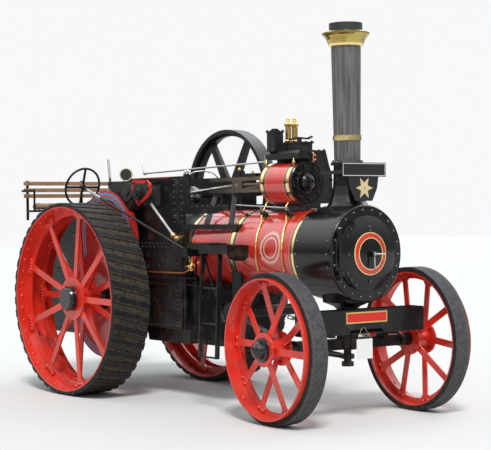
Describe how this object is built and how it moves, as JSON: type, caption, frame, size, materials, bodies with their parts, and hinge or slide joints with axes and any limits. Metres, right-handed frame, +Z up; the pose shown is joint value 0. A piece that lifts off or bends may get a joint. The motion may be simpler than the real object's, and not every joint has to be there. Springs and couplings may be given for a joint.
{
  "type": "steam traction engine",
  "caption": "Steam traction engine with a horizontal boiler, tall chimney, cylinder and flywheel, spoked steel wheels, chain steering, tender and bench.",
  "frame": {"origin": "on the ground under the middle of the machine's box", "axes": "+Y towards the tender at the rear, +X towards the flywheel side, +Z up"},
  "size_m": [2.21, 5.3772, 3.54],
  "materials": {
    "black_paint": "gloss black paint",
    "black_iron": "black painted casting",
    "smokebox_black": "heat resisting black, polished",
    "boiler_red": "gloss dark red paint",
    "wheel_red": "gloss red paint",
    "rear_rubber": "rubber bars with dried mud",
    "front_rubber": "grey black solid rubber",
    "copper_brass": "polished",
    "brass": "polished",
    "bright_steel": "bright steel, oiled",
    "brown_steel": "oiled steel",
    "grey_paint": "dark grey paint",
    "slat_wood": "weathered wood",
    "cushion": "brown rolled cushion",
    "floor_plate": "worn floor plate"
  },
  "bodies": {
    "engine": {"firebox": "black_paint", "hornplate_right": "black_paint", "hornplate_left": "black_paint", "boiler_barrel": "boiler_red", "smokebox": "smokebox_black", "chimney_base": "smokebox_black", "chimney": "grey_paint", "chimney_cap": "copper_brass", "cylinder_block": "black_iron", "cylinder_jacket": "boiler_red", "cylinder_cover": "black_iron", "safety_valves": "brass", "slide_bars": "brown_steel", "crosshead": "bright_steel", "connecting_rod": "bright_steel", "motion_bracket": "black_iron", "control_rods": "brown_steel", "gear_guard": "boiler_red", "feed_pump": "bright_steel", "rear_axle": "bright_steel", "tender": "black_paint", "footplate": "floor_plate", "bench_frame": "black_paint", "bench_slats": "slat_wood", "seat_roll": "cushion", "belly_tank": "black_paint", "perch_bracket": "black_paint", "steering_drum": "black_iron", "steering_chain_right": "bright_steel", "steering_chain_left": "bright_steel", "steering_shaft": "black_paint", "running_board": "black_paint", "number_plate": "black_paint", "drawbar": "black_paint"},
    "front_axle": {"front_axle": "black_paint", "front_toolbox": "black_paint"},
    "front_wheel_right": {"front_wheel_right": "wheel_red", "front_tyre_right": "front_rubber", "front_cap_right": "black_paint"},
    "front_wheel_left": {"front_wheel_left": "wheel_red", "front_tyre_left": "front_rubber", "front_cap_left": "black_paint"},
    "rear_wheel_right": {"rear_wheel_right": "wheel_red", "rear_tyre_right": "rear_rubber", "rear_cap_right": "black_paint"},
    "rear_wheel_left": {"rear_wheel_left": "wheel_red", "rear_tyre_left": "rear_rubber", "rear_cap_left": "black_paint"},
    "crankshaft": {"crankshaft": "bright_steel", "flywheel": "grey_paint"},
    "smokebox_door": {"smokebox_door": "smokebox_black", "door_ring": "boiler_red"}
  },
  "joints": [
    {"name": "steering", "type": "hinge", "parent": "engine", "child": "front_axle", "pos_m": [0, -1.95139, 0.665], "axis": [0, 0, 1], "range_deg": [-20.1, 29.9], "deforming": ["steering_chain_right", "steering_chain_left"]},
    {"name": "front_wheel_right_roll", "type": "hinge", "parent": "front_axle", "child": "front_wheel_right", "pos_m": [0, -1.95139, 0.665], "axis": [0.9963, -0.0854, 0], "continuous": true},
    {"name": "front_wheel_left_roll", "type": "hinge", "parent": "front_axle", "child": "front_wheel_left", "pos_m": [0, -1.95139, 0.665], "axis": [0.9963, -0.0854, 0], "continuous": true},
    {"name": "rear_wheel_right_roll", "type": "hinge", "parent": "engine", "child": "rear_wheel_right", "pos_m": [0, 1.19161, 0.99], "axis": [1, 0, 0], "continuous": true},
    {"name": "rear_wheel_left_roll", "type": "hinge", "parent": "engine", "child": "rear_wheel_left", "pos_m": [0, 1.19161, 0.99], "axis": [1, 0, 0], "continuous": true},
    {"name": "crankshaft_turn", "type": "hinge", "parent": "engine", "child": "crankshaft", "pos_m": [0, 0.48861, 2.06], "axis": [1, 0, 0], "continuous": true},
    {"name": "smokebox_door_swing", "type": "hinge", "parent": "engine", "child": "smokebox_door", "pos_m": [-0.346, -2.25139, 1.478], "axis": [0, 0, -1], "range_deg": [0, 100]}
  ]
}
